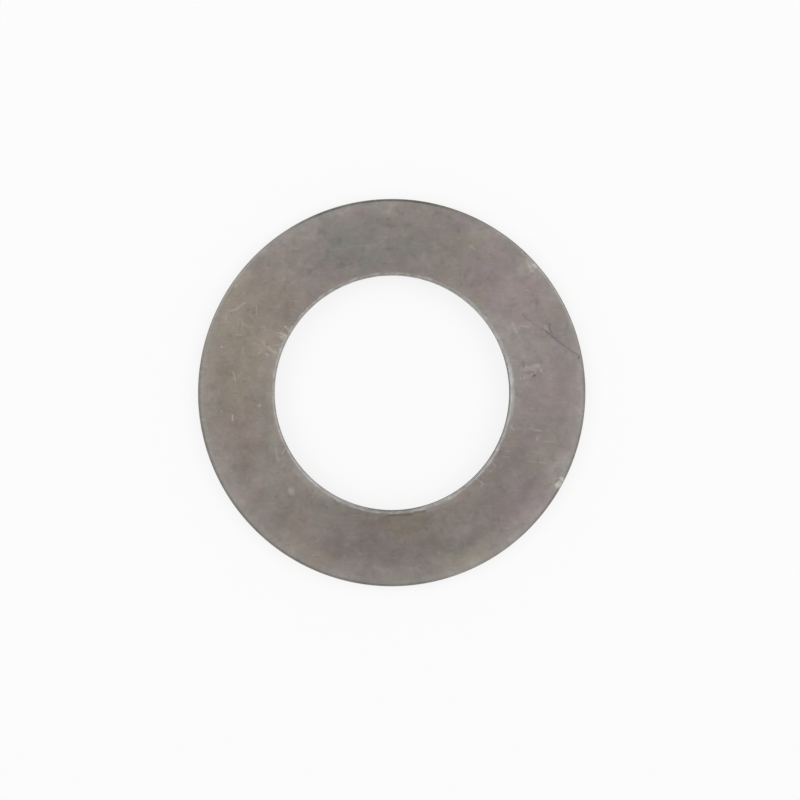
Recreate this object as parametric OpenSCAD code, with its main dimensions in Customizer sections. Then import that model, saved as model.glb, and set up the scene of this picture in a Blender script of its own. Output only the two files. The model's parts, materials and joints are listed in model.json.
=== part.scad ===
// Conical spring washer: one coned ring of spring steel, lying on its outer edge with the bore raised.
// Lengths are in millimetres. The axis is Z, and the washer rests on the plane Z = 0.

/* [Washer] */
// Outer diameter
outer_d = 42; // [38:0.5:60]
// Bore diameter, a guide fit on a 25 mm shaft
bore_d = 25.4; // [10:0.1:28]
// Thickness of the strip, square to the cone
thickness = 1.5; // [1:0.05:2]
// Height of the free washer, from the rim it rests on to the raised edge of the bore
free_height = 2.6; // [2.2:0.05:3.6]

/* [Edges] */
// Radius worn on the raised edge of the bore
bore_top_r = 0.3; // [0.1:0.02:0.4]
// Radius on the lower edge of the bore
bore_bottom_r = 0.16; // [0.1:0.02:0.4]
// Radius on the upper edge of the rim
rim_top_r = 0.2; // [0.1:0.02:0.4]
// Radius on the lower edge of the rim, which carries the washer
rim_bottom_r = 0.2; // [0.1:0.02:0.4]

/* [Dent] */
// Direction of the dent in the upper edge of the rim, turned from +X
dent_angle = -28.6; // [-180:0.2:180]
// Radius of the dent's hollow
dent_r = 0.9; // [0.6:0.05:1.5]
// Depth of the hollow below the upper cone face
dent_depth = 0.14; // [0.05:0.01:0.25]
// Distance from the rim in to the middle of the hollow
dent_inset = 0.36; // [0.2:0.02:0.6]

/* [Hidden] */
$fn = 180;

STEEL = [0.54, 0.505, 0.485];

// Sides of the section, and its lower and upper cone face
INNER = -1;
OUTER = 1;
LOWER = -1;
UPPER = 1;

bore_r = bore_d / 2;
rim_r = outer_d / 2;
face_w = rim_r - bore_r;

// An edge's arc is centred this share of its radius from the two sides, so it ends in a faint crease
arc_inset = 0.995;

// Cone angle at which the two rounded edges that carry the load stand free_height apart
load_r = rim_bottom_r + bore_top_r;
load_span = [face_w - arc_inset * load_r, free_height - load_r];
cone_angle = acos((thickness - arc_inset * load_r) / norm(load_span)) - atan2(load_span.x, load_span.y);

// Directions square to the bore's wall and to the cone faces
wall_normal = [1, 0];
face_normal = [sin(cone_angle), cos(cone_angle)];

// Height of the strip's middle surface at the rim, with the lower edge of the rim on Z = 0
rim_mid_z = rim_bottom_r - arc_inset * rim_bottom_r * tan(cone_angle)
    + (thickness / 2 - arc_inset * rim_bottom_r) / cos(cone_angle);

// Edges of the section: side, cone face and radius
EDGES = [
    [INNER, LOWER, bore_bottom_r],
    [OUTER, LOWER, rim_bottom_r],
    [OUTER, UPPER, rim_top_r],
    [INNER, UPPER, bore_top_r]
];

function wall_x(side) = side == OUTER ? rim_r : bore_r;

// Height at radius x of a surface that lies depth inside a cone face
function face_z(x, face, depth = 0) =
    rim_mid_z + (rim_r - x) * tan(cone_angle) + face * (thickness / 2 - depth) / cos(cone_angle);

function corner(side, face) = [wall_x(side), face_z(wall_x(side), face)];

function arc_centre(side, face, r) =
    let (x = wall_x(side) - side * arc_inset * r)
    [x, face_z(x, face, arc_inset * r)];

// What wear and tumbling took off one edge: the corner beyond its arc
module edge_loss(side, face, r) {
    to_wall = 2 * r * side * wall_normal;
    to_face = 2 * r * face * face_normal;
    translate(arc_centre(side, face, r))
        difference() {
            polygon([[0, 0], to_wall, to_wall + to_face, to_face]);
            circle(r = r);
        }
}

module section() {
    difference() {
        polygon([for (edge = EDGES) corner(edge[0], edge[1])]);
        for (edge = EDGES)
            edge_loss(edge[0], edge[1], edge[2]);
    }
}

module dent() {
    x = rim_r - dent_inset;
    rotate(dent_angle)
        translate([x, 0, face_z(x, UPPER) + dent_r - dent_depth])
            sphere(r = dent_r);
}

module conical_washer() {
    color(STEEL)
        difference() {
            rotate_extrude()
                section();
            dent();
        }
}

conical_washer();
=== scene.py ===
import json
import math

import bmesh
import bpy
from bpy.props import FloatProperty, FloatVectorProperty, IntProperty, PointerProperty
from mathutils import Matrix, Vector


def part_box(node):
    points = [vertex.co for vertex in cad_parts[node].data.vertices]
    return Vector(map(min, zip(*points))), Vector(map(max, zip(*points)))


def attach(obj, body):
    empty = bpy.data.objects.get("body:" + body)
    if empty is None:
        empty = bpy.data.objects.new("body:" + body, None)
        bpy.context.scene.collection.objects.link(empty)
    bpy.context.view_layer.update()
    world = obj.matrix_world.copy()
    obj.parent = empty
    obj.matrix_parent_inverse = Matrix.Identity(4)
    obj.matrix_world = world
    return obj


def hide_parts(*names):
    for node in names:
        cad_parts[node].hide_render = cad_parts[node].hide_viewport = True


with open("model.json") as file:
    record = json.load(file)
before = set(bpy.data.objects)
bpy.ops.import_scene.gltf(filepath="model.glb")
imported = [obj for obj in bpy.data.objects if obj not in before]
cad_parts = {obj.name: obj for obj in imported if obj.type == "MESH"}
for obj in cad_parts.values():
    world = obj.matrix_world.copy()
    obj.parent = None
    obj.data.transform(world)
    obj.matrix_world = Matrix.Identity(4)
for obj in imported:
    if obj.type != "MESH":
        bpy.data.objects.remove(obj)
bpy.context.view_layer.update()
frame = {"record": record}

bl_info = {
    "name": "Conical Washer",
    "version": (1, 0, 0),
    "blender": (4, 5, 0),
    "location": "View3D > Sidebar > Washer",
    "description": "Models a worn conical spring washer and the pale studio it lies in",
    "category": "Add Mesh",
}

# Lengths are in metres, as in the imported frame. Patterns on the steel are written in millimetres.
MM = 0.001
WASHER_NODE = "conical_washer"

LOW_CORNER, HIGH_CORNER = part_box(WASHER_NODE)
MOUNTS = {mount["name"]: mount for mount in frame["record"]["mounts"]}

# The photograph's square frame and the washer's place in it, in pixels
PHOTO_SIDE = 800
PHOTO_CENTRE = (391.89, 392.78)
PHOTO_RIM_R = 193.52

# Sides of the section, and its lower and upper cone face
INNER, OUTER = -1, 1
LOWER, UPPER = -1, 1

# Length of the strip before it is cut off at the bore and the rim, in face widths
STRIP_LENGTH = 1.5
# Share of the face width that only the section's edges along the cone faces are longer than
CONE_SHARE = 0.5
# Distances within which points are merged, a corner is found, and a cut takes a point as lying on it
SAME_POINT = 0.001 * MM
NEAR_CORNER = 0.01 * MM
CUT_LIMIT = 1e-8
# Bevel profile of a round edge, and the angle up to which faces are shaded as one surface
ROUND_PROFILE = 0.5
SMOOTH_ANGLE = math.radians(30)
# Fineness of the ball that makes the dent
BALL_SEGMENTS, BALL_RINGS = 96, 48

# Scratches that are cut into the upper face, in millimetres
LONG_SCRATCH = (
    (16.12, 6.96), (17.33, 6.13), (17.96, 5.61), (18.85, 4.91), (19.54, 4.50), (20.23, 4.01))
FORK = ((17.09, 7.47), (17.02, 7.13), (17.33, 6.30))
PIT = ((15.20, 1.77), (15.36, 1.86), (15.52, 1.95))
# Sides of the round point that cuts them, and how far above the face it starts and ends
POINT_SIDES = 24
POINT_CLEAR = 0.01 * MM


class WasherSettings(bpy.types.PropertyGroup):
    """Sizes and finish of the washer."""

    rim_r: FloatProperty(
        name="Rim radius", description="Radius of the outer edge", unit="LENGTH",
        default=(HIGH_CORNER.x - LOW_CORNER.x) / 2, precision=5)
    bore_r: FloatProperty(
        name="Bore radius", description="Radius of the hole", unit="LENGTH",
        default=MOUNTS["bore"]["dims"]["r_mm"] * MM, precision=5)
    free_height: FloatProperty(
        name="Free height", description="From the floor to the raised edge of the bore", unit="LENGTH",
        default=HIGH_CORNER.z - LOW_CORNER.z, precision=5)
    thickness: FloatProperty(
        name="Thickness", description="Thickness of the strip, square to the cone", unit="LENGTH",
        default=1.5 * MM, precision=5)
    bore_top_r: FloatProperty(
        name="Raised bore edge", description="Radius worn on the raised edge of the bore", unit="LENGTH",
        default=0.3 * MM, precision=5)
    bore_bottom_r: FloatProperty(
        name="Lower bore edge", description="Radius on the lower edge of the bore", unit="LENGTH",
        default=0.16 * MM, precision=5)
    rim_top_r: FloatProperty(
        name="Upper rim edge", description="Radius on the upper edge of the rim", unit="LENGTH",
        default=0.2 * MM, precision=5)
    rim_bottom_r: FloatProperty(
        name="Lower rim edge", description="Radius on the edge that the washer rests on", unit="LENGTH",
        default=0.2 * MM, precision=5)
    dent_angle: FloatProperty(
        name="Dent direction", description="Direction of the dent in the rim, turned from +X",
        subtype="ANGLE", default=math.radians(-28.6))
    dent_r: FloatProperty(
        name="Dent radius", description="Radius of the dent's hollow", unit="LENGTH",
        default=0.9 * MM, precision=5)
    dent_depth: FloatProperty(
        name="Dent depth", description="Depth of the dent below the upper face", unit="LENGTH",
        default=0.14 * MM, precision=5)
    dent_inset: FloatProperty(
        name="Dent inset", description="Distance from the rim in to the middle of the dent", unit="LENGTH",
        default=0.36 * MM, precision=5)
    scratch_r: FloatProperty(
        name="Scratch radius", description="Radius of the point that cut the scratches", unit="LENGTH",
        default=0.11 * MM, precision=5)
    scratch_depth: FloatProperty(
        name="Scratch depth", description="Depth of the scratches below the upper face", unit="LENGTH",
        default=0.03 * MM, precision=5)
    spin_steps: IntProperty(
        name="Spin steps", description="Steps of the spun section round the axis", default=512, min=64)
    edge_steps: IntProperty(
        name="Edge steps", description="Segments across each rounded edge", default=8, min=2)
    face_rings: IntProperty(
        name="Face rings", description="Cuts across each cone face", default=23, min=1)
    steel: FloatVectorProperty(
        name="Steel", description="Colour of the tumbled spring steel", subtype="COLOR", size=3,
        min=0, max=1, default=(0.258, 0.226, 0.2085))
    roughness: FloatProperty(
        name="Roughness", description="Roughness of the tumbled faces", subtype="FACTOR",
        default=0.46, min=0, max=1)


class StageSettings(bpy.types.PropertyGroup):
    """The pale floor, the light and the camera."""

    floor_side: FloatProperty(
        name="Floor", description="Side of the square floor", unit="LENGTH", default=4.0)
    floor_colour: FloatVectorProperty(
        name="Floor colour", description="Colour of the floor", subtype="COLOR", size=3,
        min=0, max=1, default=(0.9, 0.9, 0.9))
    lens: FloatProperty(
        name="Lens", description="Focal length of the camera", subtype="DISTANCE_CAMERA", default=150.0)
    tilt: FloatProperty(
        name="Tilt", description="Lean of the camera from straight above", subtype="ANGLE",
        default=math.radians(2.6))
    tilt_towards: FloatProperty(
        name="Tilt towards", description="Direction in which the camera leans, turned from +X",
        subtype="ANGLE", default=math.radians(135))


class Sheet:
    """Adds shader nodes to a tree by short calls. A value is a number, a tuple or another node's socket."""

    def __init__(self, tree):
        self.tree = tree
        tree.nodes.clear()

    def feed(self, socket, value):
        if isinstance(value, bpy.types.NodeSocket):
            self.tree.links.new(value, socket)
        else:
            socket.default_value = value

    def add(self, kind, inputs=None, **settings):
        node = self.tree.nodes.new(kind)
        for name, value in settings.items():
            setattr(node, name, value)
        for name, value in (inputs or {}).items():
            self.feed(node.inputs[name], value)
        return node

    def math(self, operation, *values):
        return self.add("ShaderNodeMath", dict(enumerate(values)), operation=operation).outputs[0]

    def vector(self, operation, *values):
        return self.add("ShaderNodeVectorMath", dict(enumerate(values)), operation=operation).outputs[0]

    def measure(self, operation, *values):
        """A vector operation that gives a number."""
        node = self.add("ShaderNodeVectorMath", dict(enumerate(values)), operation=operation)
        return node.outputs["Value"]

    def scaled(self, vector, factor):
        return self.add("ShaderNodeVectorMath", {0: vector, "Scale": factor}, operation="SCALE").outputs[0]

    def fade(self, value, start, end, low=0.0, high=1.0):
        """Goes smoothly from low, where value is start, to high, where it is end."""
        inputs = {"Value": value, "From Min": start, "From Max": end, "To Min": low, "To Max": high}
        return self.add("ShaderNodeMapRange", inputs, interpolation_type="SMOOTHSTEP").outputs["Result"]

    def noise(self, vector, scale, detail=2.0, roughness=0.5, distortion=0.0, shift=None):
        """Noise at scale per millimetre. A shift keeps it apart from other noise on the same places."""
        if shift:
            vector = self.vector("ADD", vector, shift)
        inputs = {"Vector": vector, "Scale": scale, "Detail": detail, "Roughness": roughness,
                  "Distortion": distortion}
        return self.add("ShaderNodeTexNoise", inputs)

    def mix(self, factor, first, second, blend="MIX"):
        node = self.add("ShaderNodeMix", data_type="RGBA", blend_type=blend)
        for index, value in ((0, factor), (6, first), (7, second)):
            if isinstance(value, (tuple, list)) and len(value) == 3:
                value = (*value, 1.0)
            self.feed(node.inputs[index], value)
        return node.outputs[2]


def select_only(thing):
    """Deselects everything, then selects one object and makes it active."""
    bpy.ops.object.select_all(action="DESELECT")
    thing.select_set(True)
    bpy.context.view_layer.objects.active = thing


def select_parts(mesh, kind, test):
    """In edit mode, selects only the verts, edges or faces for which test is true."""
    bpy.ops.mesh.select_all(action="DESELECT")
    modes = {"verts": "VERT", "edges": "EDGE", "faces": "FACE"}
    bpy.ops.mesh.select_mode(type=modes[kind])
    shape = bmesh.from_edit_mesh(mesh)
    for part in getattr(shape, kind):
        if test(part):
            part.select_set(True)
    shape.select_flush_mode()
    bmesh.update_edit_mesh(mesh)


def cone_angle(s):
    """Slope of the strip at which its two load-carrying edges stand free_height apart."""
    load_r = s.rim_bottom_r + s.bore_top_r
    across = s.rim_r - s.bore_r - load_r
    up = s.free_height - load_r
    return math.acos((s.thickness - load_r) / math.hypot(across, up)) - math.atan2(across, up)


def middle_z(s, radius):
    """Height of the strip's middle surface at a radius, with the rim's lower edge on the floor."""
    slope = cone_angle(s)
    at_rim = (s.rim_bottom_r - s.rim_bottom_r * math.tan(slope)
              + (s.thickness / 2 - s.rim_bottom_r) / math.cos(slope))
    return at_rim + (s.rim_r - radius) * math.tan(slope)


def upper_z(s, radius):
    """Height of the upper cone face at a radius."""
    return middle_z(s, radius) + s.thickness / 2 / math.cos(cone_angle(s))


def add_section(s):
    """A strip at the cone's slope, cut off upright at the bore and at the rim."""
    slope = cone_angle(s)
    middle_r = (s.bore_r + s.rim_r) / 2
    bpy.ops.object.select_all(action="DESELECT")
    bpy.ops.mesh.primitive_plane_add(
        size=1, location=(middle_r, 0, middle_z(s, middle_r)), rotation=(math.pi / 2, slope, 0))
    washer = bpy.context.object
    washer.name = washer.data.name = "worn_conical_washer"
    washer.scale = (STRIP_LENGTH * (s.rim_r - s.bore_r), s.thickness, 1)
    bpy.ops.object.transform_apply(location=True, rotation=True, scale=True)
    bpy.ops.object.mode_set(mode="EDIT")
    for radius, side in ((s.bore_r, INNER), (s.rim_r, OUTER)):
        bpy.ops.mesh.select_all(action="SELECT")
        bpy.ops.mesh.bisect(
            plane_co=(radius, 0, 0), plane_no=(side, 0, 0), clear_outer=True, threshold=CUT_LIMIT)
    return washer


def round_edges(s, washer):
    """Rounds the section's four corners, each to its own radius."""
    slope = cone_angle(s)
    corners = [
        (s.bore_r, LOWER, s.bore_bottom_r), (s.rim_r, LOWER, s.rim_bottom_r),
        (s.rim_r, UPPER, s.rim_top_r), (s.bore_r, UPPER, s.bore_top_r)]
    for radius, face, edge_r in corners:
        height = middle_z(s, radius) + face * s.thickness / 2 / math.cos(slope)
        corner = Vector((radius, 0, height))
        lean = face * slope if radius == s.rim_r else -face * slope
        tangent = edge_r / math.tan((math.pi / 2 + lean) / 2)
        select_parts(washer.data, "verts", lambda vert: (vert.co - corner).length < NEAR_CORNER)
        bpy.ops.mesh.bevel(
            affect="VERTICES", offset=tangent, segments=s.edge_steps, profile=ROUND_PROFILE,
            clamp_overlap=False)


def spin_section(s, washer):
    """Cuts the cone faces into rings and spins the outline once round the axis."""
    cone_length = CONE_SHARE * (s.rim_r - s.bore_r)
    bpy.ops.mesh.select_mode(type="FACE")
    bpy.ops.mesh.select_all(action="SELECT")
    bpy.ops.mesh.delete(type="ONLY_FACE")
    select_parts(washer.data, "edges", lambda edge: edge.calc_length() > cone_length)
    bpy.ops.mesh.subdivide(number_cuts=s.face_rings)
    bpy.ops.mesh.select_all(action="SELECT")
    bpy.ops.mesh.spin(
        steps=s.spin_steps, angle=2 * math.pi, center=(0, 0, 0), axis=(0, 0, 1), use_auto_merge=True)
    bpy.ops.mesh.select_all(action="SELECT")
    bpy.ops.mesh.remove_doubles(threshold=SAME_POINT)
    bpy.ops.mesh.normals_make_consistent(inside=False)


def take_away(washer, tool):
    """Cuts a closed shape out of the washer and deletes it."""
    select_only(washer)
    cut = washer.modifiers.new("cut", "BOOLEAN")
    cut.operation = "DIFFERENCE"
    cut.solver = "EXACT"
    cut.object = tool
    bpy.ops.object.modifier_apply(modifier=cut.name)
    bpy.data.objects.remove(tool)


def cut_dent(s, washer):
    """Presses the dent into the upper edge of the rim by taking a ball away."""
    radius = s.rim_r - s.dent_inset
    bpy.ops.object.select_all(action="DESELECT")
    bpy.ops.mesh.primitive_uv_sphere_add(
        segments=BALL_SEGMENTS, ring_count=BALL_RINGS, radius=s.dent_r,
        location=(radius * math.cos(s.dent_angle), radius * math.sin(s.dent_angle),
                  upper_z(s, radius) + s.dent_r - s.dent_depth))
    ball = bpy.context.object
    bpy.ops.object.transform_apply(location=True, rotation=True, scale=True)
    take_away(washer, ball)


def cut_scratch(s, washer, points):
    """Drags a round point along the upper face, from above it at one end to above it at the other."""
    depths = [-POINT_CLEAR, *[s.scratch_depth] * (len(points) - 2), -POINT_CLEAR]
    path = []
    for (x, y), depth in zip(points, depths):
        radius = math.hypot(x, y) * MM
        path.append(Vector((x * MM, y * MM, upper_z(s, radius) + s.scratch_r - depth)))
    heading = path[-1] - path[0]
    bpy.ops.object.select_all(action="DESELECT")
    bpy.ops.mesh.primitive_circle_add(
        vertices=POINT_SIDES, radius=s.scratch_r, fill_type="NGON", location=path[0],
        rotation=heading.to_track_quat("Z", "Y").to_euler())
    point = bpy.context.object
    bpy.ops.object.transform_apply(location=True, rotation=True, scale=True)
    bpy.ops.object.mode_set(mode="EDIT")
    bpy.ops.mesh.select_all(action="SELECT")
    for start, end in zip(path, path[1:]):
        bpy.ops.mesh.extrude_region_move(TRANSFORM_OT_translate={"value": end - start})
    bpy.ops.mesh.select_all(action="SELECT")
    bpy.ops.mesh.normals_make_consistent(inside=False)
    bpy.ops.object.mode_set(mode="OBJECT")
    take_away(washer, point)


class WASHER_OT_conical_washer(bpy.types.Operator):
    """Models the coned ring in the place of its solid and gives it its worn steel."""

    bl_idname = "washer.conical_washer"
    bl_label = "Conical Washer"

    def execute(self, context):
        s = context.scene.washer
        washer = add_section(s)
        round_edges(s, washer)
        spin_section(s, washer)
        bpy.ops.object.mode_set(mode="OBJECT")
        cut_dent(s, washer)
        for points in (LONG_SCRATCH, FORK, PIT):
            cut_scratch(s, washer, points)
        select_only(washer)
        bpy.ops.object.shade_smooth_by_angle(angle=SMOOTH_ANGLE)
        washer.data.materials.append(worn_steel(s))
        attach(washer, "root")
        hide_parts(WASHER_NODE)
        return {"FINISHED"}


# Tarnish on the upper face, with painted shade in the grey patches named shade: name, middle, half-widths,
# turn in degrees, colour factor
TARNISH_AND_SHADE = (
    ("straw left", (-16.2, 5.2), (4.6, 8.6), -6, (1.01, 1.005, 0.915)),
    ("brown upper left", (-11.6, 10.8), (3.0, 3.2), 40, (0.98, 0.965, 0.92)),
    ("brown left", (-16.6, -2.4), (3.4, 4.4), 8, (0.985, 0.97, 0.94)),
    ("pale by the scratches", (-12.6, 5.4), (2.0, 2.2), 20, (1.08, 1.07, 1.05)),
    ("blue-green top", (-3.6, 17.2), (5.0, 2.8), 8, (0.91, 0.975, 0.965)),
    ("blue by the bore's top", (-2.8, 14.3), (3.6, 1.8), 8, (0.91, 0.97, 1.00)),
    ("dark top", (1.4, 15.4), (2.4, 1.8), 0, (0.90, 0.955, 0.96)),
    ("dark green top left", (-6.4, 15.8), (1.9, 2.8), 0, (0.93, 0.975, 0.955)),
    ("green-grey top right", (4.8, 16.9), (4.6, 3.6), -15, (0.93, 0.98, 0.965)),
    ("violet upper right", (12.9, 11.0), (5.6, 3.6), -45, (1.012, 0.968, 1.04)),
    ("dark violet upper right", (9.6, 13.4), (2.8, 2.4), -30, (0.97, 0.945, 0.99)),
    ("pale rim upper right", (15.0, 13.7), (1.7, 0.9), -42, (1.09, 1.13, 1.12)),
    ("pale bore right", (13.4, 4.6), (1.2, 4.4), 16, (1.035, 1.065, 1.095)),
    ("pale bore upper right", (11.9, 7.0), (1.1, 2.0), 30, (1.13, 1.15, 1.17)),
    ("slate right", (18.2, 5.8), (2.8, 2.2), -30, (0.915, 0.92, 0.98)),
    ("lilac right rim", (18.6, 0.0), (2.8, 5.8), 0, (0.97, 0.94, 1.00)),
    ("lilac right", (15.2, -1.0), (2.4, 5.2), 0, (0.96, 0.945, 1.00)),
    ("green-grey right", (17.0, -3.3), (1.6, 2.0), 0, (0.95, 0.975, 0.945)),
    ("shade lower right", (12.6, -7.2), (1.8, 3.0), -32, (0.90, 0.90, 0.905)),
    ("pale rim lower right", (17.8, -8.6), (1.1, 2.2), -26, (1.07, 1.09, 1.10)),
    ("violet lower right", (13.6, -12.6), (3.6, 2.6), 42, (1.00, 0.955, 1.035)),
    ("dark violet lower right", (15.2, -10.4), (2.2, 2.0), 0, (0.955, 0.925, 0.975)),
    ("olive below the bore", (1.0, -13.9), (5.2, 1.7), 0, (0.87, 0.86, 0.80)),
    ("blue-violet below the bore", (-2.0, -17.0), (4.8, 2.8), 0, (0.955, 0.945, 0.98)),
    ("green below the bore", (4.2, -16.3), (1.8, 1.7), 0, (0.945, 0.975, 0.94)),
    ("blue-green bottom", (7.6, -16.6), (3.0, 2.2), 25, (0.945, 1.00, 0.985)),
    ("shade below the bore", (0.4, -15.4), (8.4, 3.8), 0, (0.92, 0.92, 0.92)),
    ("rust lower left", (-15.8, -6.6), (1.8, 3.6), 22, (1.00, 0.965, 0.94)),
    ("brown lower left", (-10.6, -13.8), (3.2, 2.2), 40, (1.00, 0.965, 0.94)),
    ("straw bottom left", (-7.6, -17.4), (2.8, 1.6), 22, (1.03, 1.00, 0.955)),
    ("green-grey left of the bore", (-13.0, -4.6), (1.3, 3.2), 15, (0.98, 1.01, 0.975)),
    ("pale bore lower left", (-11.4, -7.2), (1.2, 4.2), 32, (1.06, 1.08, 1.085)),
    ("blue-green bottom left", (-6.4, -12.6), (2.2, 1.7), -20, (0.92, 0.97, 0.955)),
    ("grey-violet top left", (-8.0, 13.6), (1.8, 2.2), 20, (0.94, 0.945, 0.985)),
    ("pale rim upper left", (-16.7, 11.3), (0.9, 2.6), -34, (1.06, 1.075, 1.03)),
    ("violet top left rim", (-3.9, 19.3), (1.8, 1.0), 10, (1.02, 0.965, 1.02)),
    ("violet top right rim", (6.9, 18.2), (2.4, 1.3), -20, (1.01, 0.96, 1.02)),
    ("green-grey lower left", (-11.8, -9.6), (2.6, 2.2), 40, (0.985, 1.015, 0.985)),
    ("pale rim bottom left", (-9.6, -17.2), (3.8, 1.6), -30, (1.06, 1.05, 1.03)),
    ("straw rim bottom right", (8.0, -17.9), (4.4, 1.7), 24, (1.06, 1.05, 1.015)),
)

# Scratches, rubs and spots on the upper face: points, width and strength. Light ones are bare metal; on the
# rim's nicks and in the dent they are also painted glints.
LIGHT_MARKS = (
    (((-11.63, 7.28), (-11.00, 6.70)), 0.14, 1.05),
    (((-10.90, 6.98),), 0.15, 1.3),
    (((-10.56, 7.40),), 0.14, 1.2),
    (((-12.14, 6.55), (-11.86, 6.37), (-11.58, 6.25)), 0.14, 1.15),
    (((-11.60, 6.26), (-11.50, 6.18)), 0.20, 1.5),
    (((-12.57, 6.54), (-12.28, 6.53)), 0.14, 0.6),
    (((-12.04, 6.02), (-11.56, 5.88)), 0.16, 0.7),
    (((-12.22, 7.42), (-12.06, 7.26)), 0.13, 0.4),
    (((-12.10, 4.62), (-12.02, 4.40)), 0.20, 0.6),
    (((-12.44, 3.60), (-12.34, 3.34)), 0.18, 0.6),
    (((-12.86, 2.30), (-12.80, 1.80)), 0.18, 0.5),
    (((-12.10, 6.15), (-11.82, 6.06)), 0.15, 0.9),
    (((-11.72, 5.93), (-11.56, 5.80)), 0.15, 0.9),
    (((-12.53, 5.28), (-12.24, 5.08)), 0.14, 0.5),
    (((-13.46, 5.04), (-13.10, 4.68), (-12.56, 4.37)), 0.30, 0.55),
    (((-13.58, 4.24), (-13.42, 4.10)), 0.26, 0.5),
    (((-13.94, 5.64), (-13.75, 5.20)), 0.34, 0.28),
    (((-14.17, 4.64), (-14.51, 4.09)), 0.22, 0.35),
    (((-13.82, 5.40),), 0.24, 0.5),
    (((-17.56, 8.86), (-16.79, 9.06), (-15.96, 9.79)), 0.18, 0.6),
    (((-16.03, 10.86),), 0.26, 0.4),
    (((-17.90, 8.37), (-18.03, 7.89)), 0.16, 0.5),
    (((-16.58, 8.10), (-16.63, 7.41)), 0.16, 0.4),
    (((-16.31, 8.10), (-16.10, 7.41)), 0.16, 0.4),
    (((-16.79, 6.30), (-16.03, 6.30)), 0.14, 0.5),
    (((-14.24, 7.17), (-13.82, 7.17)), 0.14, 0.4),
    (((-18.42, 4.99),), 0.26, 0.9),
    (((-16.10, 4.91), (-16.10, 4.36)), 0.12, 0.4),
    (((-17.21, 2.36), (-16.93, 1.39)), 0.16, 0.6),
    (((-16.62, 1.80),), 0.22, 0.35),
    (((-16.03, 1.56), (-15.41, 1.56)), 0.14, 0.3),
    (((-14.72, 1.88), (-14.03, 1.88)), 0.14, 0.3),
    (((-17.25, -2.4), (-17.25, -2.9)), 0.20, 0.9),
    (((-14.36, -1.30),), 0.34, 0.8),
    (((-18.44, -1.92),), 0.24, 0.5),
    (((-10.98, -10.50), (-10.90, -10.64)), 0.70, 0.75),
    (((14.42, 7.20), (14.84, 7.22)), 0.24, 0.48),
    (((18.30, 7.17), (18.80, 7.17)), 0.14, 0.3),
    (((13.02, 7.38), (13.16, 7.22)), 0.40, 0.34),
    (((13.20, 6.98), (13.38, 6.66)), 0.40, 0.42),
    (((13.68, 6.98), (13.72, 7.24)), 0.36, 0.24),
    (((12.74, 6.55), (12.70, 6.38)), 0.36, 0.30),
    (((14.48, 2.78), (14.90, 2.70), (15.43, 2.92), (15.83, 2.92)), 0.46, 0.58),
    (((16.02, 2.62), (16.11, 2.41)), 0.28, 0.42),
    (((14.00, 2.66), (14.50, 2.56)), 0.50, 0.30),
    (((14.32, 1.86), (14.76, 1.81)), 0.46, 0.34),
    (((14.90, 1.91), (15.10, 2.04)), 0.26, 0.45),
    (((15.20, 2.48), (15.50, 2.53)), 0.40, 0.40),
    (((15.52, 2.22),), 0.15, 0.8),
    (((13.90, 1.66), (13.90, 1.46)), 0.13, 0.7),
    (((14.21, 1.62), (14.21, 1.46)), 0.13, 0.65),
    (((16.45, 7.25), (16.85, 6.80)), 0.22, 0.45),
    (((15.40, -4.05), (16.05, -4.08)), 0.18, 0.6),
    (((12.75, -3.55), (13.20, -4.00)), 0.16, 0.55),
    (((9.16, -9.26), (9.84, -9.88)), 0.20, 0.55),
    (((9.60, -10.10), (9.74, -9.84)), 0.16, 0.40),
    (((10.65, -7.30), (11.13, -7.90)), 0.24, 0.35),
    (((10.25, -8.25), (10.72, -8.45)), 0.22, 0.35),
    (((-12.6, -6.0), (-12.3, -7.3)), 0.26, 0.40),
    (((-11.6, -6.0), (-11.9, -6.5)), 0.18, 0.45),
    (((-8.2, -10.6), (-8.6, -11.2)), 0.22, 0.35),
    # Nicks in the rim at upper right: bare metal, painted bright as glints
    (((15.30, 13.88), (15.52, 13.64)), 0.30, 1.15),
    (((14.80, 13.80), (14.96, 13.58)), 0.26, 0.95),
    (((14.62, 14.30), (15.10, 13.95)), 0.50, 0.35),
    (((14.96, 13.40), (15.02, 13.10)), 0.18, 0.55),
    (((15.14, 13.36), (15.36, 13.10)), 0.18, 0.55),
    (((13.98, 15.34), (14.32, 14.86)), 0.20, 0.35),
    # Nicks in the rim at upper left: bare metal, painted bright as glints
    (((-14.0, 15.2), (-13.6, 15.5)), 0.14, 0.5),
    (((-16.80, 11.70), (-16.95, 11.45)), 0.20, 0.7),
    (((-17.60, 10.10),), 0.18, 0.7),
    # The chip in the dent and the light round it: bare metal, painted bright as a glint that also hides the
    # hollow's shading
    (((18.42, -9.42), (18.17, -9.78), (18.00, -10.12)), 0.50, 2.8),
    (((18.02, -9.52), (17.82, -9.86)), 0.60, 0.40),
    (((-14.65, 9.50), (-14.65, 8.40)), 0.14, 0.35),
    (((13.98, 7.30),), 0.28, 0.36),
    (((14.94, 7.44),), 0.22, 0.35),
    (((14.50, 11.15), (14.80, 11.00)), 0.14, 0.5),
    (((12.92, 11.78),), 0.18, 0.5),
    (((8.45, 15.90), (8.95, 15.55)), 0.16, 0.45),
    (((-10.55, 15.70), (-10.25, 15.62)), 0.14, 0.5),
    (((-10.00, 17.00),), 0.16, 0.5),
    (((5.0, -17.2), (5.2, -17.5)), 0.16, 0.4),
    (((-8.9, -10.6), (-8.5, -10.9)), 0.18, 0.35),
    (((12.00, -6.90), (12.55, -6.90)), 0.20, 0.30),
    (((16.50, -5.20), (17.70, -5.35)), 0.16, 0.30),
    (((15.80, -6.49), (16.75, -6.55)), 0.16, 0.25),
    (((15.66, -4.70), (15.66, -5.00)), 0.20, 0.35),
    (((14.70, -7.38), (15.40, -7.42)), 0.18, 0.30),
    (((15.90, -7.50), (16.60, -7.62)), 0.18, 0.40),
)
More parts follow.
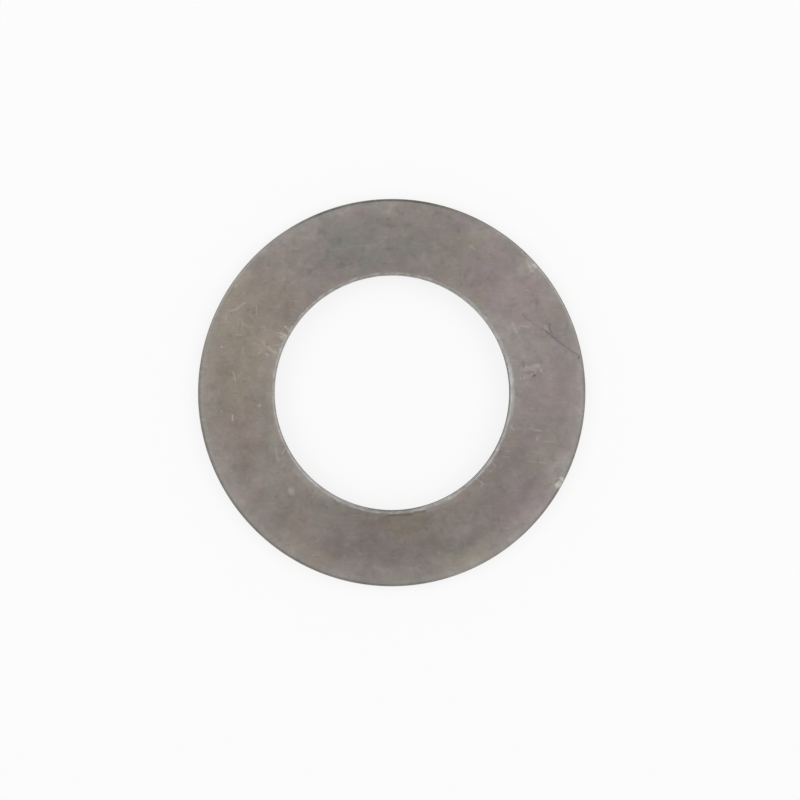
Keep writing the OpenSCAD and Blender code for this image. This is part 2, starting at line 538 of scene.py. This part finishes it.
DARK_MARKS = (
    (((14.02, 8.60), (14.34, 8.20), (14.92, 7.78)), 0.17, 0.48),
    (((15.10, 7.66), (16.00, 7.06)), 0.20, 0.12),
    (LONG_SCRATCH, 0.21, 0.12),
    (((16.12, 6.96), (17.20, 6.22)), 0.24, 0.42),
    (((17.20, 6.22), (17.90, 5.66)), 0.26, 0.40),
    (((19.35, 4.62), (20.23, 4.01)), 0.28, 0.42),
    (((17.06, 7.50), (17.00, 7.36)), 0.20, 0.8),
    (((14.31, 15.16), (14.40, 15.06)), 0.28, 0.55),
    (((13.94, 15.58),), 0.26, 0.45),
    (((15.70, 13.78), (15.62, 13.60)), 0.16, 0.5),
    (((15.53, 13.29),), 0.30, 0.35),
    (FORK, 0.13, 0.8),
    (((20.23, 4.01), (20.20, 3.75)), 0.22, 0.9),
    (((16.42, 2.36),), 0.20, 0.9),
    (((15.26, 1.80), (15.46, 1.92)), 0.20, 1.0),
    (((15.12, 2.28),), 0.24, 0.4),
    (((14.73, 2.07),), 0.24, 0.35),
    (((14.15, 3.30), (14.10, 2.85)), 0.40, 0.35),
    (((16.04, 3.36),), 0.34, 0.4),
    (((-11.55, 6.75), (-11.36, 6.50)), 0.30, 0.55),
    (((-12.00, 6.90),), 0.22, 0.35),
    (((-10.74, 7.46),), 0.22, 0.6),
    (((-13.50, 5.28),), 0.18, 0.9),
    (((-12.50, 5.42),), 0.18, 0.6),
    (((-11.62, 5.64),), 0.20, 0.6),
    (((-12.46, 4.95),), 0.36, 0.4),
    (((-12.02, 5.66), (-11.84, 5.56)), 0.20, 0.5),
    (((-12.42, 4.64), (-12.26, 4.56)), 0.20, 0.5),
    (((-13.62, 4.50), (-13.20, 4.32)), 0.28, 0.3),
    (((-16.41, 7.41), (-16.45, 6.51)), 0.14, 0.5),
    (((-14.86, 9.27), (-14.86, 8.31)), 0.12, 0.45),
    (((-17.86, 3.30),), 0.20, 0.8),
    (((15.67, 10.03), (15.60, 9.60)), 0.36, 0.4),
    (((13.32, 9.62), (12.95, 9.40)), 0.36, 0.35),
    (((18.78, 6.30),), 0.30, 0.3),
    (((12.77, 8.86),), 0.30, 0.3),
    (((-0.6, -13.22), (1.6, -13.14), (3.5, -12.76)), 0.28, 0.75),
    (((0.2, 18.0),), 0.24, 0.5),
    (((-10.65, 16.45), (-10.25, 16.30)), 0.30, 0.35),
    (((-11.45, 12.05), (-11.10, 11.95)), 0.30, 0.30),
    (((5.2, 14.2), (5.6, 14.0)), 0.34, 0.30),
    (((1.9, 15.1), (2.5, 14.7)), 0.30, 0.35),
    (((7.2, 13.3), (7.3, 12.8)), 0.26, 0.35),
)

# Where round the washer wear, painted shade and painted highlights show: direction in degrees, cosines from
# it at which the mark starts and is full, and its strength there
PALE_RIM = ((285, -0.25, 0.50, 1.0), (112, 0.85, 0.97, 1.0))
# Painted shade along the rounded rim edge, and the directions where it gives way as the edge catches the
# light
RIM_SHADE_LINE = ((95, 0.87, 0.98, 0.80), (225, 0.35, 0.75, 0.45), (342, 0.82, 0.96, 0.42))
RIM_SHADE_GAPS = ((38, 0.90, 0.98, 1.0), (146, 0.93, 0.99, 1.0))
RIM_LIFT = (312, 0.90, 0.98, 0.11)
# Painted highlight: a pale line just inside the rim's painted shade line
RIM_GLEAM = (188, 0.78, 0.93, 0.05)
# Direction in which the bore edge's painted highlight is widest and brightest, and the bore wall's painted
# shade reaches higher
BORE_SHINE = (5, 0.93, 0.995, 1.0)
BORE_RUBBED = (18, 0.60, 0.92, 1.0)
BORE_SHADE = (271, 0.94, 0.99, 0.13)
BORE_CHAFED = (
    (157, 0.972, 0.994, 0.75),
    (182, 0.93, 0.985, 0.60),
    (229, 0.972, 0.994, 1.0),
    (291, 0.972, 0.994, 0.9),
)
# Directions in which the painted highlight on the polished bore edge is brighter or duller, given in the same
# way
BORE_GLOSS = (
    (36, 0.972, 0.994, 0.35),
    (138, 0.97, 0.99, 0.20),
    (192, 0.82, 0.95, -0.40),
    (291, 0.972, 0.994, 0.35),
    (347, 0.97, 0.994, -0.30),
)

# Short random rubs: turn in degrees and shift in millimetres, and how a rub is drawn out
RUBS = ((12, 3.0), (75, 11.0), (-48, 23.0))
RUB_STRETCH = (0.8, 7.0, 1.0)
# Turning lines run round the walls, so they are drawn out level
WALL_STRETCH = (0.5, 0.5, 16)
# Clouds are flattened, so that they change across the thin walls too
CLOUD_STRETCH = (1, 1, 4)

# Tints that the steel's colour is multiplied by
CLOUD_TINTS = ((0.980, 1.004, 0.992), (1.016, 0.990, 1.000))
STRAW_TINT = (1.01, 1.005, 0.95)
SPECK_SPAN, SPECK_LOW = (0.13, 0.09, 0.14), (0.935, 0.955, 0.93)
RIM_BAND_TINT = (1.20, 1.235, 1.24)
RIM_EDGE_TINT = (0.97, 1.0, 1.012)
RUBBED_TINT = (1.06, 1.095, 1.09)
CHAFED_TINT = (1.19, 1.215, 1.225)

# Colours that cover the steel: bare metal, the dent's chip with a painted glint, the bore edge with a painted
# highlight, and painted shade on the bore wall
BARE_METAL = (0.54, 0.505, 0.465)
CHIP_AND_GLINT_METAL = (0.53, 0.52, 0.475)
POLISHED_HIGHLIGHT_METAL = (0.50, 0.505, 0.50)
BORE_WALL_SHADE = (0.150, 0.140, 0.132)
BARE_COVER = 0.42

# How much each pattern lightens or darkens the steel, roughens or polishes it, and rises or sinks in it
TONE = {
    "broad": 0.34, "mottle": 0.58, "grain": 0.12, "pits": -0.09, "pale flecks": 0.11, "dark flecks": -0.11,
    "rubs": 0.10, "dark marks": -0.34, "rim line": -0.55, "rim line gaps": -0.4,
}
ROUGHNESS = {"mottle": 0.22, "light marks": -0.07, "polish_and_highlight": -0.10, "bore wall": 0.16, "chip_and_glint": 0.34}
RELIEF = {"rubs": -0.5, "dark marks": -2.0, "turning lines": 1.6}
RELIEF_STRENGTH = 0.6
RELIEF_DEPTH = 0.006 * MM

# How far the patches, the marks, the rim's band and the bore's edge waver, in millimetres
PATCH_WAVER, MARK_WAVER, BAND_WAVER, EDGE_WAVER = 7.0, 0.20, 1.2, 0.5

# Share of polish and painted highlight on the bore's edge, and on the wider worn part where the highlight is
# brightest
THIN_POLISH_AND_HIGHLIGHT, WIDE_POLISH_AND_HIGHLIGHT = 0.62, 0.75
# Height above the strip's middle to which the painted shade on the bore wall reaches, and what it gains where
# the bore edge's highlight is brightest
WALL_REACH, WALL_REACH_GAIN = 0.45, 0.11


def stroke_group():
    """A mask that is 1 on a short straight line and fades out over its half-width."""
    group = bpy.data.node_groups.new("stroke", "ShaderNodeTree")
    for name in ("Place", "Start", "Along"):
        group.interface.new_socket(name, in_out="INPUT", socket_type="NodeSocketVector")
    for name in ("Per Length", "Width"):
        group.interface.new_socket(name, in_out="INPUT", socket_type="NodeSocketFloat")
    group.interface.new_socket("Mask", in_out="OUTPUT", socket_type="NodeSocketFloat")
    sheet = Sheet(group)
    given = sheet.add("NodeGroupInput").outputs
    off = sheet.vector("SUBTRACT", given["Place"], given["Start"])
    share = sheet.math("MULTIPLY", sheet.measure("DOT_PRODUCT", off, given["Along"]), given["Per Length"])
    share = sheet.math("MINIMUM", sheet.math("MAXIMUM", share, 0.0), 1.0)
    nearest = sheet.scaled(given["Along"], share)
    distance = sheet.measure("DISTANCE", off, nearest)
    half = sheet.math("MULTIPLY", given["Width"], 0.5)
    mask = sheet.fade(sheet.math("DIVIDE", distance, half), 1.5, 0.3)
    sheet.add("NodeGroupOutput", {"Mask": mask})
    return group


def patch_group():
    """A mask that is 1 in the middle of an oval and fades out to its edge."""
    group = bpy.data.node_groups.new("patch", "ShaderNodeTree")
    for name in ("Place", "Middle", "Across", "Along"):
        group.interface.new_socket(name, in_out="INPUT", socket_type="NodeSocketVector")
    group.interface.new_socket("Mask", in_out="OUTPUT", socket_type="NodeSocketFloat")
    sheet = Sheet(group)
    given = sheet.add("NodeGroupInput").outputs
    off = sheet.vector("SUBTRACT", given["Place"], given["Middle"])
    across = sheet.measure("DOT_PRODUCT", off, given["Across"])
    along = sheet.measure("DOT_PRODUCT", off, given["Along"])
    reach = sheet.math("SQRT", sheet.math("ADD", sheet.math("MULTIPLY", across, across),
                                          sheet.math("MULTIPLY", along, along)))
    sheet.add("NodeGroupOutput", {"Mask": sheet.fade(reach, 1.25, 0.25)})
    return group


def draw_marks(sheet, group, place, marks):
    """The strongest of a list of marks at each place."""
    result = 0.0
    for points, width, strength in marks:
        ends = list(zip(points, points[1:])) or [(points[0], points[0])]
        for start, end in ends:
            along = Vector((*end, 0)) - Vector((*start, 0))
            per_length = 1 / along.length_squared if along.length else 0.0
            inputs = {"Place": place, "Start": (*start, 0), "Along": along, "Per Length": per_length,
                      "Width": width}
            mask = sheet.add("ShaderNodeGroup", inputs, node_tree=group).outputs["Mask"]
            result = sheet.math("MAXIMUM", result, sheet.math("MULTIPLY", mask, strength))
    return result


class Steel(Sheet):
    """The washer's shader nodes, with the places on it that patterns are laid by, in millimetres."""

    def __init__(self, tree, s):
        super().__init__(tree)
        metres = self.add("ShaderNodeTexCoord").outputs["Object"]
        self.place = self.scaled(metres, 1 / MM)
        self.flat = self.vector("MULTIPLY", self.place, (1, 1, 0))
        self.radius = self.measure("LENGTH", self.flat)
        height = self.add("ShaderNodeSeparateXYZ", {0: self.place}).outputs["Z"]
        self.bore_r, self.rim_r = s.bore_r / MM, s.rim_r / MM

        # Height above the strip's middle surface tells the upper face from the lower one
        slope = math.tan(cone_angle(s))
        inward = self.math("SUBTRACT", self.rim_r, self.radius)
        middle = self.math("MULTIPLY_ADD", inward, slope, middle_z(s, s.rim_r) / MM)
        self.above = self.math("SUBTRACT", height, middle)
        self.upper = self.fade(self.above, 0.2, 0.55)

    def product(self, first, *others):
        for other in others:
            first = self.math("MULTIPLY", first, other)
        return first

    def centred(self, noise, amount):
        """A noise about zero, times an amount."""
        return self.math("MULTIPLY", self.math("SUBTRACT", noise, 0.5), amount)

    def wandering(self, noise, amount):
        """Places moved about within the plane by a coloured noise."""
        step = self.vector("SUBTRACT", noise, (0.5, 0.5, 0.5))
        return self.vector("ADD", self.flat, self.vector("MULTIPLY", step, (amount, amount, 0)))

    def facing(self, angle, start, end, most):
        """Rises from 0 to most towards a direction, as the cosine from it goes from start to end."""
        towards = (math.cos(math.radians(angle)), math.sin(math.radians(angle)), 0)
        cosine = self.math("DIVIDE", self.measure("DOT_PRODUCT", self.flat, towards), self.radius)
        return self.fade(cosine, start, end, high=most)

    def strongest(self, directions):
        """The strongest of several directions."""
        result = self.facing(*directions[0])
        for direction in directions[1:]:
            result = self.math("MAXIMUM", result, self.facing(*direction))
        return result

    def from_rim(self, radius, start, end, high=1.0):
        """Rises from 0 to high as a radius goes from start to end, in millimetres in from the rim."""
        return self.fade(radius, self.rim_r - start, self.rim_r - end, high=high)

    def from_bore(self, radius, start, end):
        """Rises from 0 to 1 as a radius goes from start to end, in millimetres out from the bore."""
        return self.fade(radius, self.bore_r + start, self.bore_r + end)


def oxide_colour(steel, s, tall):
    """The steel's own colour, in faint clouds and specks of oxide."""
    clouds = steel.noise(tall, scale=0.42, detail=4.0, roughness=0.65).outputs[0]
    colour = steel.mix(steel.fade(clouds, 0.28, 0.72), *CLOUD_TINTS)
    colour = steel.mix(1.0, (*s.steel, 1), colour, "MULTIPLY")
    straw = steel.noise(tall, scale=0.6, detail=4.0, roughness=0.65, shift=(31, 17, 5)).outputs[0]
    colour = steel.mix(steel.fade(straw, 0.42, 0.72, high=0.6), colour, STRAW_TINT, "MULTIPLY")
    specks = steel.noise(steel.place, scale=0.9, detail=4.0, roughness=0.65, shift=(23, 5, 9))
    specks = steel.vector("MULTIPLY_ADD", specks.outputs["Color"], SPECK_SPAN, SPECK_LOW)
    return steel.mix(1.0, colour, specks, "MULTIPLY")


def tarnish_and_shade_colour(steel, colour, place):
    """Multiplies the steel by each patch of tarnish and of painted shade on the upper face."""
    group = patch_group()
    for _, middle, half, turn, factor in TARNISH_AND_SHADE:
        angle = math.radians(turn)
        across = Vector((math.cos(angle), math.sin(angle), 0)) / half[0]
        along = Vector((-math.sin(angle), math.cos(angle), 0)) / half[1]
        inputs = {"Place": place, "Middle": (*middle, 0), "Across": across, "Along": along}
        mask = steel.add("ShaderNodeGroup", inputs, node_tree=group).outputs["Mask"]
        colour = steel.mix(steel.product(mask, steel.upper), colour, factor, "MULTIPLY")
    return colour


def pitted(steel):
    """A mask of small pits, in some of the cells of a Voronoi pattern."""
    cells = steel.add("ShaderNodeTexVoronoi", {"Vector": steel.place, "Scale": 0.95})
    chosen = steel.add("ShaderNodeSeparateColor", {0: cells.outputs["Color"]}).outputs[0]
    return steel.product(steel.fade(cells.outputs["Distance"], 0.16, 0.05), steel.fade(chosen, 0.55, 0.8))


def random_rubs(steel):
    """A mask of short rubs in several directions."""
    rubs = 0.0
    for turn, shift in RUBS:
        turned = steel.add("ShaderNodeMapping", {
            "Vector": steel.place, "Location": (shift, shift, 0), "Rotation": (0, 0, math.radians(turn)),
            "Scale": RUB_STRETCH}).outputs[0]
        rub = steel.fade(steel.noise(turned, scale=0.6).outputs[0], 0.62, 0.76)
        rubs = steel.math("MAXIMUM", rubs, rub)
    return rubs


def rim_shade_and_band(steel, tone, ragged):
    """The tone with a painted shade line along the rounded rim edge that comes and goes, a painted highlight
    line just inside it, and a mask of the pale band.
    """
    band = steel.math("ADD", steel.from_rim(ragged, 3.0, 1.0, high=0.5),
                      steel.from_rim(ragged, 1.2, 0.5, high=0.5))
    pale = steel.fade(steel.strongest(PALE_RIM), 0.0, 1.0, low=0.35)
    rim_band = steel.product(band, steel.upper, pale)
    tone = steel.math("MULTIPLY_ADD", steel.product(band, steel.facing(*RIM_LIFT)), steel.upper, tone)

    # Painted shade on the rounded rim edge, broken by noise and fading where the edge catches the light
    line = steel.product(steel.from_rim(steel.radius, 0.32, 0.20), steel.from_rim(steel.radius, 0.04, 0.12))
    breaks = steel.noise(steel.flat, scale=0.35, detail=3.0).outputs[0]
    comes = steel.product(steel.strongest(RIM_SHADE_LINE), steel.fade(breaks, 0.32, 0.50, low=0.6))
    comes = steel.math("MULTIPLY_ADD", steel.strongest(RIM_SHADE_GAPS), TONE["rim line gaps"], comes)
    tone = steel.math("MULTIPLY_ADD", steel.product(line, comes), TONE["rim line"], tone)

    # Painted highlight just inside the shade line, on the left
    inside = steel.product(steel.from_rim(steel.radius, 0.66, 0.48), steel.from_rim(steel.radius, 0.28, 0.40))
    tone = steel.math("ADD", tone, steel.product(inside, steel.facing(*RIM_GLEAM)))
    return tone, rim_band


def bore_polish_and_highlight(steel, shine, flecks):
    """A mask of the worn, polished bore edge and its painted highlight, which is brightest on the right."""
    uneven = steel.noise(steel.flat, scale=1.0, detail=3.0, roughness=0.7).outputs[0]
    uneven = steel.fade(uneven, 0.36, 0.62, low=0.50, high=1.12)
    frayed = steel.math("ADD", steel.radius, steel.centred(flecks, EDGE_WAVER))
    thin = steel.product(steel.from_bore(frayed, 0.44, 0.16), THIN_POLISH_AND_HIGHLIGHT)
    wide = steel.product(steel.from_bore(frayed, 0.62, 0.28), steel.product(shine, WIDE_POLISH_AND_HIGHLIGHT))
    edge = steel.fade(steel.above, 0.36, 0.46)
    gloss = 1.0
    for direction in BORE_GLOSS:
        gloss = steel.math("ADD", gloss, steel.facing(*direction))
    return steel.product(steel.math("MAXIMUM", thin, wide), edge, uneven, gloss)


def bore_shadow(steel, shine):
    """A mask of painted shade on the bore wall, which reaches higher on the right and at the bottom."""
    reach = steel.math("MAXIMUM", steel.product(shine, WALL_REACH_GAIN), steel.facing(*BORE_SHADE))
    reach = steel.math("ADD", reach, WALL_REACH)
    return steel.product(steel.from_bore(steel.radius, 0.16, 0.10),
                         steel.fade(steel.math("SUBTRACT", steel.above, reach), 0.05, -0.05))


def steel_relief(steel, grain, rubs, dark):
    """Normals for grain, rubs and the dark scratches, and for turning lines on the walls."""
    wall = steel.fade(steel.math("ABSOLUTE", steel.above), 0.72, 0.60)
    lines = steel.noise(steel.vector("MULTIPLY", steel.place, WALL_STRETCH), scale=1.0, roughness=0.6)
    relief = steel.math("MULTIPLY_ADD", rubs, RELIEF["rubs"], grain)
    relief = steel.math("MULTIPLY_ADD", dark, RELIEF["dark marks"], relief)
    lines = steel.product(wall, lines.outputs[0])
    relief = steel.math("MULTIPLY_ADD", lines, RELIEF["turning lines"], relief)
    inputs = {"Height": relief, "Strength": RELIEF_STRENGTH, "Distance": RELIEF_DEPTH}
    return steel.add("ShaderNodeBump", inputs).outputs[0]


def worn_steel(s):
    """Tumbled spring steel with tarnish and patches of painted shade, scratches, a polished bore edge with a
    painted highlight, painted shade on the bore wall and a painted shade line on the rim.
    """
    material = bpy.data.materials.new("worn spring steel")
    material.use_nodes = True
    steel = Steel(material.node_tree, s)
    tall = steel.vector("MULTIPLY", steel.place, CLOUD_STRETCH)

    # Wavering places, so that no patch or stroke has a drawn edge
    patch_noise = steel.noise(steel.place, scale=0.5, detail=5.0, roughness=0.7).outputs["Color"]
    patch_place = steel.wandering(patch_noise, PATCH_WAVER)
    mark_place = steel.wandering(steel.noise(steel.place, scale=2.6).outputs["Color"], MARK_WAVER)

    colour = oxide_colour(steel, s, tall)
    colour = tarnish_and_shade_colour(steel, colour, patch_place)

    # Light and dark mottling, grain, pits, flecks and rubs
    broad = steel.noise(tall, scale=0.24, shift=(13, 41, 2)).outputs[0]
    mottle = steel.noise(tall, scale=0.48, detail=5.0, roughness=0.66, shift=(7, 3, 11)).outputs[0]
    grain = steel.noise(steel.place, scale=4.2, detail=3.0, roughness=0.7).outputs[0]
    flecks = steel.noise(steel.place, scale=1.2, roughness=0.6, distortion=0.8, shift=(5, 19, 3)).outputs[0]
    rubs = random_rubs(steel)
    tone = steel.math("ADD", 1.0, steel.centred(broad, TONE["broad"]))
    tone = steel.math("ADD", tone, steel.centred(mottle, TONE["mottle"]))
    tone = steel.math("ADD", tone, steel.centred(grain, TONE["grain"]))
    tone = steel.math("MULTIPLY_ADD", pitted(steel), TONE["pits"], tone)
    tone = steel.math("ADD", tone, steel.fade(flecks, 0.52, 0.74, high=TONE["pale flecks"]))
    tone = steel.math("ADD", tone, steel.fade(flecks, 0.46, 0.26, high=TONE["dark flecks"]))
    tone = steel.math("MULTIPLY_ADD", rubs, TONE["rubs"], tone)

    # Marks seen on the upper face
    group = stroke_group()
    light = steel.product(draw_marks(steel, group, mark_place, LIGHT_MARKS), steel.upper)
    dark = steel.product(draw_marks(steel, group, mark_place, DARK_MARKS), steel.upper)
    light = steel.product(light, steel.fade(grain, 0.25, 0.55, low=0.6))
    # The strongest light marks, in the dent's chip: bare metal with a painted glint
    chip_and_glint = steel.fade(light, 1.3, 2.2)
    tone = steel.math("MULTIPLY_ADD", dark, TONE["dark marks"], tone)

    # Wear, painted shade and painted highlights along the rim and the bore
    ragged = steel.math("ADD", steel.radius, steel.centred(mottle, BAND_WAVER))
    tone, rim_band = rim_shade_and_band(steel, tone, ragged)
    shine = steel.facing(*BORE_SHINE)
    polish_and_highlight = bore_polish_and_highlight(steel, shine, flecks)
    rubbed = steel.product(steel.from_bore(ragged, 1.5, 0.5), steel.facing(*BORE_RUBBED), steel.upper)
    chafed = steel.product(steel.strongest(BORE_CHAFED), steel.from_bore(ragged, 1.2, 0.45), steel.upper)
    bore_wall_shade = bore_shadow(steel, shine)

    tones = steel.add("ShaderNodeCombineXYZ", {0: tone, 1: tone, 2: tone}).outputs[0]
    colour = steel.mix(1.0, colour, tones, "MULTIPLY")
    rim_edge = steel.from_rim(steel.radius, 0.9, 0.3)
    for mask, tint in ((rim_band, RIM_BAND_TINT), (rim_edge, RIM_EDGE_TINT), (rubbed, RUBBED_TINT),
                       (chafed, CHAFED_TINT)):
        colour = steel.mix(mask, colour, tint, "MULTIPLY")
    bare = steel.math("MINIMUM", steel.product(light, BARE_COVER), 1.0)
    for mask, cover in ((bare, BARE_METAL), (chip_and_glint, CHIP_AND_GLINT_METAL), (polish_and_highlight, POLISHED_HIGHLIGHT_METAL),
                        (bore_wall_shade, BORE_WALL_SHADE)):
        colour = steel.mix(mask, colour, cover)

    rough = steel.math("ADD", s.roughness, steel.centred(mottle, ROUGHNESS["mottle"]))
    for mask, name in ((light, "light marks"), (polish_and_highlight, "polish_and_highlight"), (bore_wall_shade, "bore wall"),
                       (chip_and_glint, "chip_and_glint")):
        rough = steel.math("MULTIPLY_ADD", mask, ROUGHNESS[name], rough)

    shader = steel.add("ShaderNodeBsdfPrincipled", {
        "Base Color": colour, "Metallic": 1.0, "Roughness": rough,
        "Normal": steel_relief(steel, grain, rubs, dark)})
    steel.add("ShaderNodeOutputMaterial", {"Surface": shader.outputs[0]})
    return material


# Share of plain white in what the floor shows to the camera and in reflections
FLOOR_WHITE = 0.80
# Brightness of the studio's walls, of what is above them, and what the ceiling adds to that
WALL_LEVEL, UPPER_LEVEL, CEILING_LIFT = 1.0, 0.62, 0.34
# Softboxes: name, direction in degrees and power in watts, and what they have in common
SOFTBOXES = (("softbox_right", 16, 0.38), ("softbox_left", 168, 0.36))
SOFTBOX_ELEVATION = 46
SOFTBOX_DISTANCE = 0.5
SOFTBOX_SIDE = 0.3
# Height of the outline that the camera's frame is worked out from, and the nearest thing it shows
OUTLINE_Z = 0.7 * MM
NEAREST = 0.01


def pale_floor(stage):
    """A floor that shows white to the camera and in reflections, and keeps part of its shading."""
    material = bpy.data.materials.new("pale floor")
    material.use_nodes = True
    sheet = Sheet(material.node_tree)
    paths = sheet.add("ShaderNodeLightPath").outputs
    seen = sheet.math("MAXIMUM", paths["Is Camera Ray"], paths["Is Glossy Ray"])
    seen = sheet.math("MAXIMUM", seen, paths["Is Transmission Ray"])
    paper = sheet.add("ShaderNodeBsdfDiffuse", {"Color": (*stage.floor_colour, 1)})
    white = sheet.add("ShaderNodeEmission", {"Strength": 1.0})
    share = sheet.math("MULTIPLY", seen, FLOOR_WHITE)
    both = sheet.add("ShaderNodeMixShader", {0: share, 1: paper.outputs[0], 2: white.outputs[0]})
    sheet.add("ShaderNodeOutputMaterial", {"Surface": both.outputs[0]})
    return material


def studio_world():
    """Pale walls, darker above them and bright again overhead."""
    world = bpy.data.worlds.new("studio")
    bpy.context.scene.world = world
    world.use_nodes = True
    sheet = Sheet(world.node_tree)
    direction = sheet.add("ShaderNodeTexCoord").outputs["Generated"]
    up = sheet.add("ShaderNodeSeparateXYZ", {0: direction}).outputs["Z"]
    level = sheet.math("ADD", sheet.fade(up, 0.05, 0.50, low=WALL_LEVEL, high=UPPER_LEVEL),
                       sheet.fade(up, 0.62, 0.97, high=CEILING_LIFT))
    grey = sheet.add("ShaderNodeCombineXYZ", {0: level, 1: level, 2: level})
    light = sheet.add("ShaderNodeBackground", {"Color": grey.outputs[0], "Strength": 1.0})
    sheet.add("ShaderNodeOutputWorld", {"Surface": light.outputs[0]})


def add_softbox(name, azimuth, power):
    """A square lamp that faces the washer from a direction."""
    turn, rise = math.radians(azimuth), math.radians(SOFTBOX_ELEVATION)
    away = Vector((math.cos(turn) * math.cos(rise), math.sin(turn) * math.cos(rise), math.sin(rise)))
    bpy.ops.object.light_add(type="AREA", location=away * SOFTBOX_DISTANCE)
    lamp = bpy.context.object
    lamp.name = lamp.data.name = name
    lamp.rotation_euler = away.to_track_quat("Z", "Y").to_euler()
    lamp.data.size = SOFTBOX_SIDE
    lamp.data.energy = power


def add_camera(stage, rim_r):
    """A camera above the washer, framed so that the rim falls where the photograph has it."""
    bpy.ops.object.camera_add()
    camera = bpy.context.object
    camera.data.lens = stage.lens
    camera.data.sensor_fit = "HORIZONTAL"
    pixel = camera.data.sensor_width / PHOTO_SIDE
    distance = rim_r * stage.lens / (PHOTO_RIM_R * pixel)
    lean = Vector((math.cos(stage.tilt_towards), math.sin(stage.tilt_towards), 0))
    back = lean * math.sin(stage.tilt) + Vector((0, 0, math.cos(stage.tilt)))
    right = Vector((0, 1, 0)).cross(back).normalized()
    up = back.cross(right)
    turn = Matrix((right, up, back)).transposed().to_4x4()
    camera.matrix_world = Matrix.Translation(back * distance + Vector((0, 0, OUTLINE_Z))) @ turn
    camera.data.shift_x = (PHOTO_SIDE / 2 - PHOTO_CENTRE[0]) / PHOTO_SIDE
    camera.data.shift_y = (PHOTO_CENTRE[1] - PHOTO_SIDE / 2) / PHOTO_SIDE
    camera.data.clip_start = NEAREST
    bpy.context.scene.camera = camera


class WASHER_OT_stage(bpy.types.Operator):
    """Lays the pale floor and sets up the light and the camera."""

    bl_idname = "washer.stage"
    bl_label = "Studio Stage"

    def execute(self, context):
        stage = context.scene.washer_stage
        bpy.ops.object.select_all(action="DESELECT")
        bpy.ops.mesh.primitive_plane_add(size=stage.floor_side, location=(0, 0, 0))
        floor = context.object
        floor.name = "floor"
        floor.data.materials.append(pale_floor(stage))
        studio_world()
        for name, azimuth, power in SOFTBOXES:
            add_softbox(name, azimuth, power)
        add_camera(stage, context.scene.washer.rim_r)
        context.scene.view_settings.view_transform = "Standard"
        return {"FINISHED"}


class WASHER_PT_sidebar(bpy.types.Panel):
    """The washer's tools and sizes."""

    bl_idname = "WASHER_PT_sidebar"
    bl_label = "Conical Washer"
    bl_space_type = "VIEW_3D"
    bl_region_type = "UI"
    bl_category = "Washer"

    def draw(self, context):
        layout = self.layout
        for settings, operator in (
                (context.scene.washer, WASHER_OT_conical_washer),
                (context.scene.washer_stage, WASHER_OT_stage)):
            for name in settings.__annotations__:
                layout.prop(settings, name)
            layout.operator(operator.bl_idname)


CLASSES = (WasherSettings, StageSettings, WASHER_OT_conical_washer, WASHER_OT_stage, WASHER_PT_sidebar)


def register():
    for cls in CLASSES:
        bpy.utils.register_class(cls)
    bpy.types.Scene.washer = PointerProperty(type=WasherSettings)
    bpy.types.Scene.washer_stage = PointerProperty(type=StageSettings)


def unregister():
    del bpy.types.Scene.washer_stage
    del bpy.types.Scene.washer
    for cls in reversed(CLASSES):
        bpy.utils.unregister_class(cls)


def main():
    register()
    bpy.ops.washer.conical_washer()
    bpy.ops.washer.stage()


if __name__ == "__main__":
    main()
